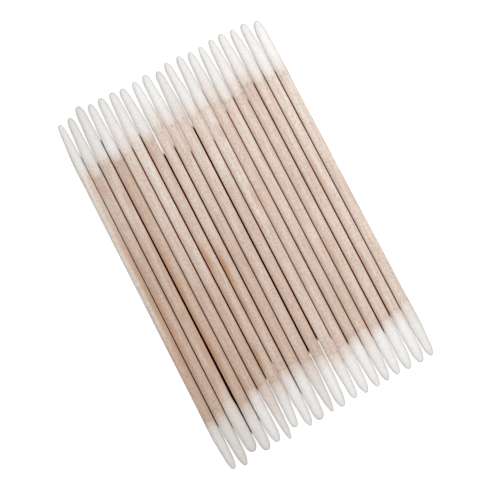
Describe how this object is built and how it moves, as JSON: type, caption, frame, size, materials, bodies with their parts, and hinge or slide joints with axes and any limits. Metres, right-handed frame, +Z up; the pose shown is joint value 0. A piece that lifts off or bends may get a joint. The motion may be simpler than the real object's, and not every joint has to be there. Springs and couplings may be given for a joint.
{
  "type": "set of cotton swabs",
  "caption": "Set of double-ended cotton swabs: birch sticks with a pointed cotton bud wound on each end, laid side by side in one flat row.",
  "frame": {"origin": "on the surface that the swabs lie on, under the middle of the middle swab", "axes": "+Z up from that surface; the swabs lie along Y, with their far buds towards +Y; +X across the row"},
  "size_m": [0.0467, 0.0773, 0.0025],
  "materials": {
    "birch": "plain turned birch, unvarnished",
    "cotton": "soft wound cotton, matt"
  },
  "bodies": {
    "root": {"stick_01": "birch", "far_bud_01": "cotton", "near_bud_01": "cotton", "stick_02": "birch", "far_bud_02": "cotton", "near_bud_02": "cotton", "stick_03": "birch", "far_bud_03": "cotton", "near_bud_03": "cotton", "stick_04": "birch", "far_bud_04": "cotton", "near_bud_04": "cotton", "stick_05": "birch", "far_bud_05": "cotton", "near_bud_05": "cotton", "stick_06": "birch", "far_bud_06": "cotton", "near_bud_06": "cotton", "stick_07": "birch", "far_bud_07": "cotton", "near_bud_07": "cotton", "stick_08": "birch", "far_bud_08": "cotton", "near_bud_08": "cotton", "stick_09": "birch", "far_bud_09": "cotton", "near_bud_09": "cotton", "stick_10": "birch", "far_bud_10": "cotton", "near_bud_10": "cotton", "stick_11": "birch", "far_bud_11": "cotton", "near_bud_11": "cotton", "stick_12": "birch", "far_bud_12": "cotton", "near_bud_12": "cotton", "stick_13": "birch", "far_bud_13": "cotton", "near_bud_13": "cotton", "stick_14": "birch", "far_bud_14": "cotton", "near_bud_14": "cotton", "stick_15": "birch", "far_bud_15": "cotton", "near_bud_15": "cotton", "stick_16": "birch", "far_bud_16": "cotton", "near_bud_16": "cotton", "stick_17": "birch", "far_bud_17": "cotton", "near_bud_17": "cotton", "stick_18": "birch", "far_bud_18": "cotton", "near_bud_18": "cotton", "stick_19": "birch", "far_bud_19": "cotton", "near_bud_19": "cotton"}
  },
  "joints": []
}
